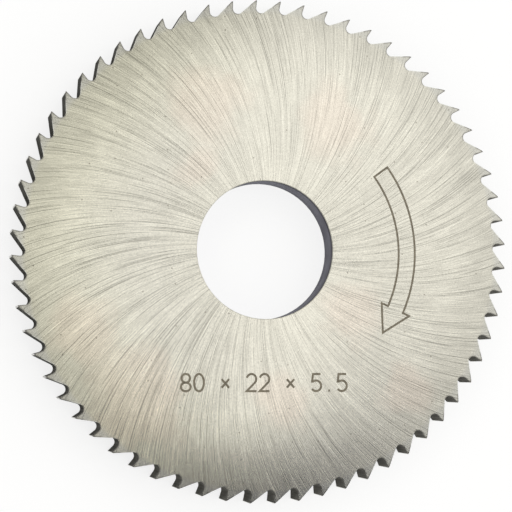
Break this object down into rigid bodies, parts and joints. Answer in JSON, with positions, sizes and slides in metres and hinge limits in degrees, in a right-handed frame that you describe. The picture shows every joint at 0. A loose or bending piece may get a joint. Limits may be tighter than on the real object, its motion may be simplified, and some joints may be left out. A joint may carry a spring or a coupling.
{
  "type": "slitting saw",
  "caption": "Flat disc-shaped metal slitting saw for a milling arbor, with a plain bore, hollow-ground sides and fine raked teeth round the rim.",
  "frame": {"origin": "centre of the bore, on the plane that the lower tooth tips rest on", "axes": "+Z along the bore axis, out of the face with the direction arrow; +X through a tooth tip; the teeth cut clockwise seen from +Z"},
  "size_m": [0.08, 0.08, 0.0055],
  "materials": {
    "ground_steel": "ground high-speed steel with fine curved grinding lines from bore to rim"
  },
  "bodies": {
    "root": {"saw_blade": "ground_steel"}
  },
  "joints": []
}
